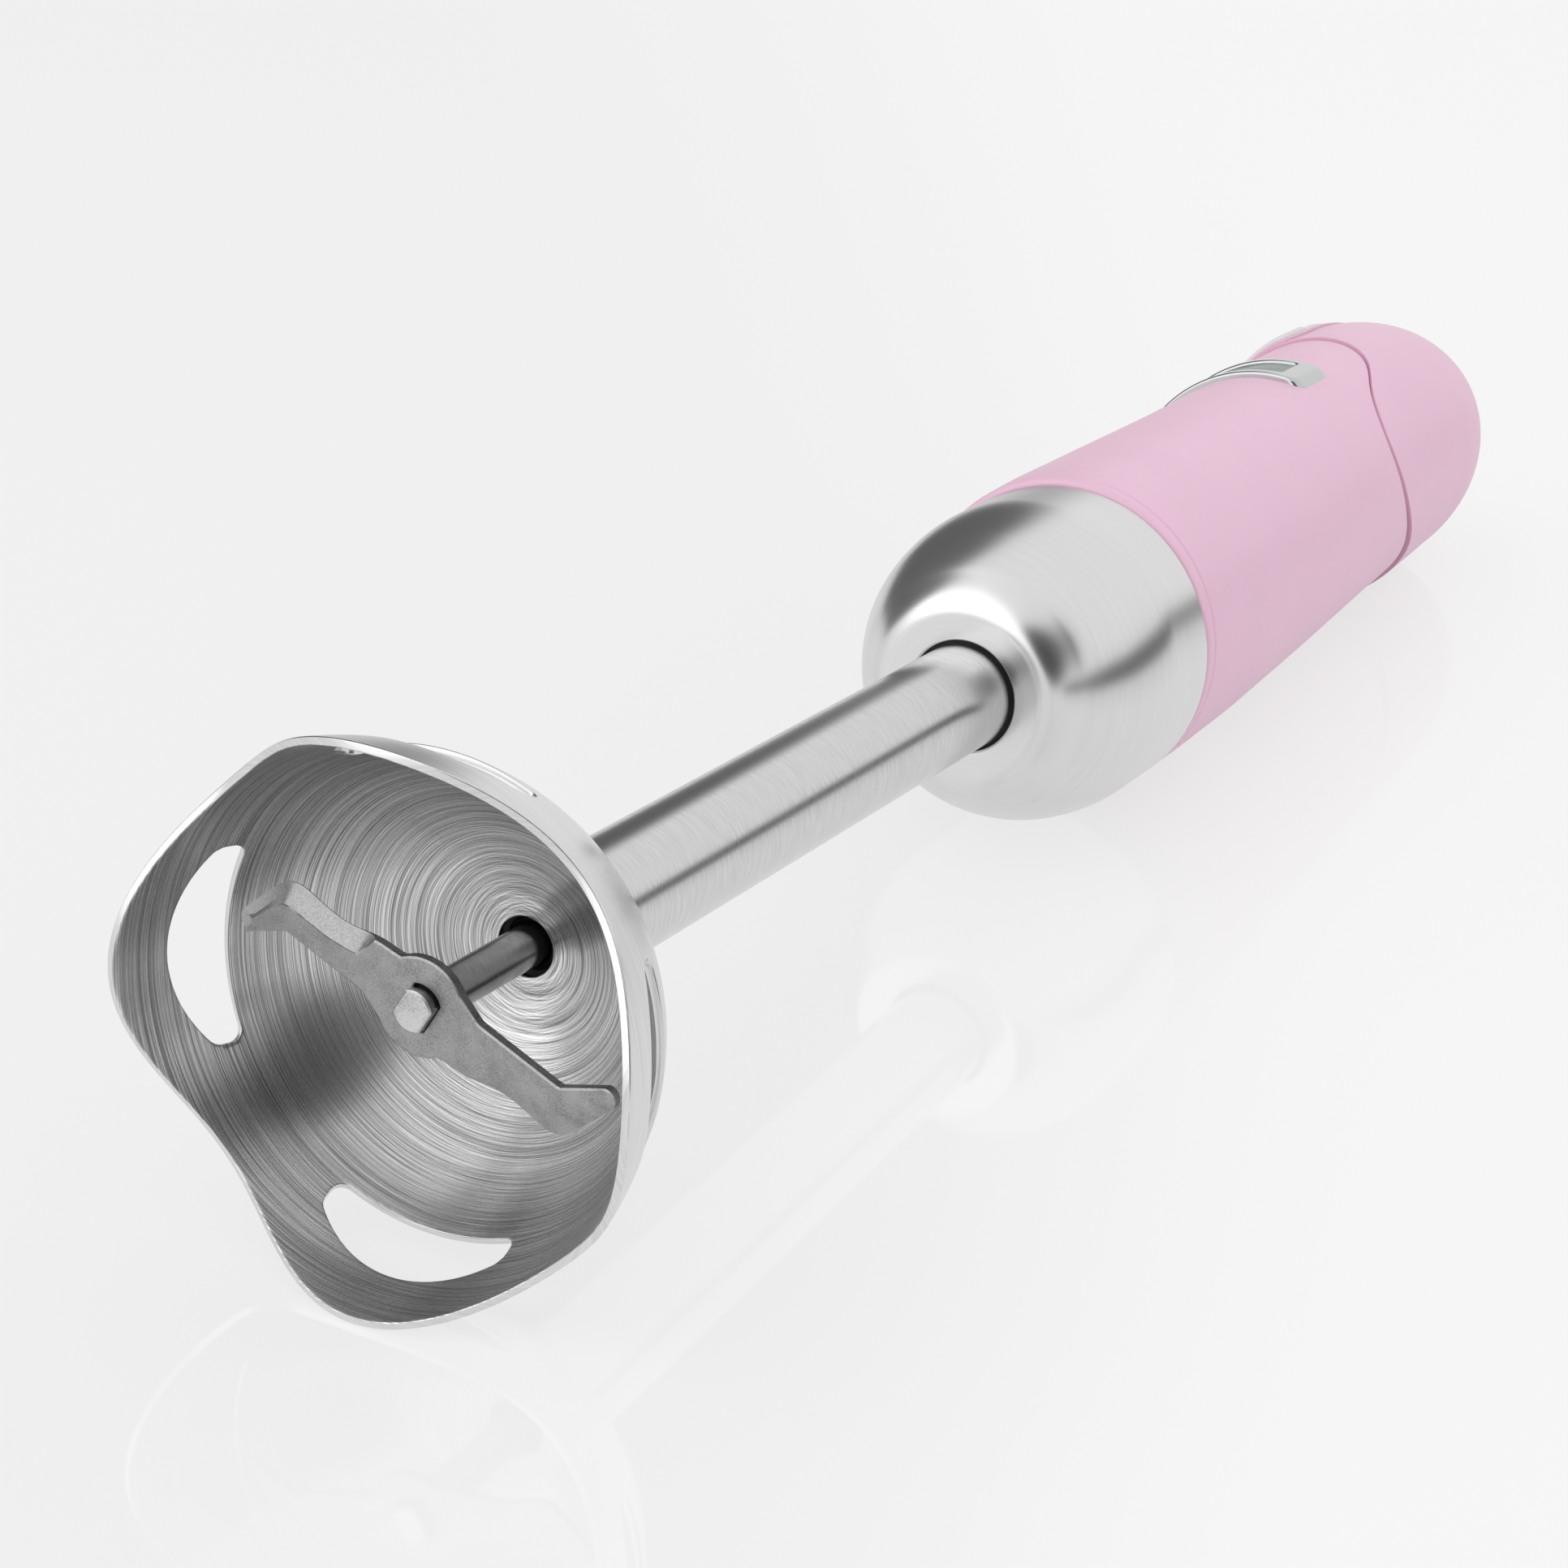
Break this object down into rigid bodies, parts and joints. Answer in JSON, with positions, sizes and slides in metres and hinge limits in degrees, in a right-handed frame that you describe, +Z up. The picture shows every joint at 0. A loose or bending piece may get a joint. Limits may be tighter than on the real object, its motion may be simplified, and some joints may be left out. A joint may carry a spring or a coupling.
{
  "type": "immersion blender",
  "caption": "Hand-held stick blender: plug-in steel blending foot with a lobed, slotted bell and a spinning two-wing blade, on a round motor handle with press buttons and a speed dial.",
  "frame": {"origin": "under the middle of the blender's bounding box, on the floor it lies on", "axes": "+Y from the blade end to the handle's end, +Z up: one lobe of the bell and the handle's far part touch the floor, so the long axis drops about 2.5 degrees towards the handle. The buttons face between -X and +Z"},
  "size_m": [0.0708, 0.3844, 0.0708],
  "materials": {
    "pink_shell": "satin moulded plastic, pastel pink",
    "nameplate_frame": "bright chrome plating",
    "nameplate": "grey-green panel, left bare",
    "button_bezel": "grey moulded plastic",
    "switch_case": "black switch case",
    "board_laminate": "tan laminate board",
    "coupling_socket": "light grey nylon",
    "black_rubber": "black rubber",
    "bracket_plastic": "black glass-filled nylon",
    "sintered_bronze": "sintered bronze",
    "motor_screws": "zinc plated steel",
    "stator_core": "stacked electrical steel sheets",
    "field_coils": "enamelled copper wire",
    "brush_holders": "pressed brass",
    "carbon_brushes": "carbon",
    "brush_springs": "spring steel wire",
    "capacitor": "yellow film capacitor case",
    "choke_coils": "wound ferrite",
    "gland_bridge": "white plastic",
    "cord_gland": "light grey soft plastic",
    "cord_clamp": "black plastic",
    "terminal_block": "white plastic",
    "speed_track": "carbon track board",
    "armature_core": "stacked electrical steel sheets",
    "armature_windings": "enamelled copper wire",
    "commutator": "copper bars",
    "motor_shaft": "ground steel",
    "cooling_fan": "black nylon",
    "drive_coupler": "red nylon",
    "blade_guard": "turned stainless steel, satin outside, fine concentric rings inside",
    "shaft_tube": "stainless steel tube, finely brushed lengthwise",
    "shaft_seal": "black lip seal",
    "carrier_plastic": "white acetal",
    "tube_seal": "black ring seal",
    "coupling_dome": "pressed stainless steel, satin polished",
    "shaft_insert": "dark grey glass-filled nylon",
    "drive_shaft": "ground stainless steel",
    "retaining_clips": "spring steel",
    "blade": "stamped stainless steel, fine blasted face with a ground edge",
    "driven_coupler": "white nylon",
    "button_rubber": "soft light grey elastomer",
    "plunger_plastic": "dark plastic",
    "speed_dial": "light grey moulded plastic",
    "dial_retainer": "white plastic",
    "dial_wiper": "pressed spring bronze"
  },
  "bodies": {
    "handle": {"handle_body": "pink_shell", "trim_lip": "pink_shell", "end_cap": "pink_shell", "nameplate_frame": "nameplate_frame", "nameplate": "nameplate", "button_bezel": "button_bezel", "power_switch": "switch_case", "turbo_switch": "switch_case", "switch_board": "board_laminate", "coupling_socket": "coupling_socket", "damping_ring_front": "black_rubber", "damping_ring_rear": "black_rubber", "front_bracket": "bracket_plastic", "front_bearing": "sintered_bronze", "rear_bracket": "bracket_plastic", "rear_bearing": "sintered_bronze", "motor_screws": "motor_screws", "stator_core": "stator_core", "field_coils": "field_coils", "brush_holders": "brush_holders", "carbon_brushes": "carbon_brushes", "brush_springs": "brush_springs", "power_board": "board_laminate", "capacitor": "capacitor", "choke_coils": "choke_coils", "gland_bridge": "gland_bridge", "cord_gland": "cord_gland", "cord_clamp": "cord_clamp", "terminal_block": "terminal_block", "speed_track": "speed_track"},
    "rotor": {"armature_core": "armature_core", "armature_windings": "armature_windings", "commutator": "commutator", "motor_shaft": "motor_shaft", "cooling_fan": "cooling_fan", "drive_coupler": "drive_coupler"},
    "shaft_unit": {"blade_guard": "blade_guard", "shaft_tube": "shaft_tube", "shaft_seal": "shaft_seal", "lower_carrier": "carrier_plastic", "lower_bush": "sintered_bronze", "upper_carrier": "carrier_plastic", "upper_bush": "sintered_bronze", "tube_seal": "tube_seal", "coupling_dome": "coupling_dome", "shaft_insert": "shaft_insert"},
    "blade_unit": {"drive_shaft": "drive_shaft", "retaining_clips": "retaining_clips", "blade": "blade", "driven_coupler": "driven_coupler"},
    "power_key": {"power_button": "button_rubber", "power_plunger": "plunger_plastic"},
    "turbo_key": {"turbo_button": "button_rubber", "turbo_plunger": "plunger_plastic"},
    "dial": {"speed_dial": "speed_dial", "dial_retainer": "dial_retainer", "dial_wiper": "dial_wiper"}
  },
  "joints": [
    {"name": "motor_spin", "type": "hinge", "parent": "handle", "child": "rotor", "pos_m": [0, 0.02662, 0.02592], "axis": [0, 0.999, -0.0436], "continuous": true},
    {"name": "shaft_pull", "type": "slide", "parent": "handle", "child": "shaft_unit", "axis": [0, -0.999, 0.0436], "range_m": [0, 0.045]},
    {"name": "blade_spin", "type": "hinge", "parent": "shaft_unit", "child": "blade_unit", "pos_m": [0, -0.1564, 0.03391], "axis": [0, 0.999, -0.0436], "continuous": true},
    {"name": "power_press", "type": "slide", "parent": "handle", "child": "power_key", "axis": [0.7071, -0.0309, -0.7064], "range_m": [0, 0.0015], "stiffness_N_per_m": 1200, "springref_m": -0.001},
    {"name": "turbo_press", "type": "slide", "parent": "handle", "child": "turbo_key", "axis": [0.7071, -0.0309, -0.7064], "range_m": [0, 0.0015], "stiffness_N_per_m": 1200, "springref_m": -0.001},
    {"name": "dial_turn", "type": "hinge", "parent": "handle", "child": "dial", "pos_m": [-0.00329, 0.17942, 0.02254], "axis": [0, 0.999, -0.0436], "range_deg": [0, 270]}
  ],
  "couplings": [
    {"joint": "blade_spin", "follows": "motor_spin", "ratio": 1}
  ]
}
